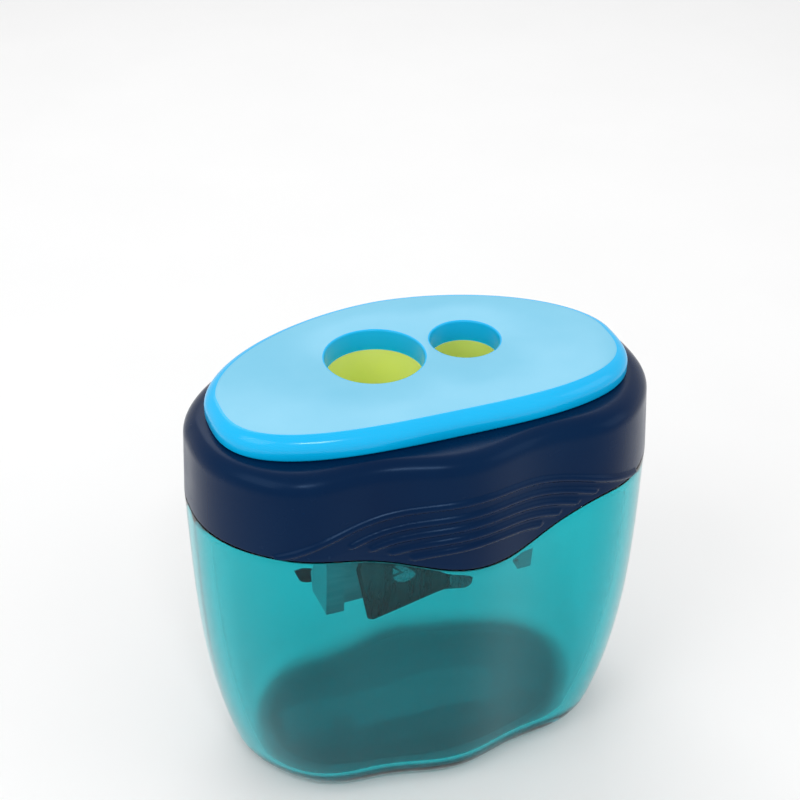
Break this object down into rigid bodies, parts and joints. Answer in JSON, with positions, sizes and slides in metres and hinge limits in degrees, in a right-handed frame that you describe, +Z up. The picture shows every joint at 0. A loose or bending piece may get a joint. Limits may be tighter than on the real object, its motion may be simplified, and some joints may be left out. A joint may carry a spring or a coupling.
{
  "type": "canister pencil sharpener",
  "caption": "Hand-held pencil sharpener: clear rounded tank for shavings, dark lift-off collar, raised blue top plate with a large and a small pencil hole over a metal blade block.",
  "frame": {"origin": "middle of the tank's underside, on the surface it stands on", "axes": "+Z up through the lid, +X along the long side towards the small hole, -Y the front"},
  "size_m": [0.0621, 0.0396, 0.0589],
  "materials": {
    "clear_teal": "clear polished",
    "navy_plastic": "smooth satin",
    "blue_plastic": "smooth gloss",
    "lime_plastic": "smooth satin",
    "slate_plastic": "matt",
    "block_metal": "milled",
    "blade_steel": "ground",
    "screw_steel": "bright"
  },
  "bodies": {
    "tank": {"shavings_tank": "clear_teal"},
    "lid": {"lid_collar": "navy_plastic", "top_plate": "blue_plastic", "funnel_insert": "lime_plastic", "block_holder": "slate_plastic", "sharpener_block": "block_metal", "small_hole_blade": "blade_steel", "large_hole_blade": "blade_steel", "small_blade_screw": "screw_steel", "large_blade_screw": "screw_steel"}
  },
  "joints": [
    {"name": "lid_lift", "type": "slide", "parent": "tank", "child": "lid", "axis": [0, 0, 1], "range_m": [0, 0.04]}
  ]
}
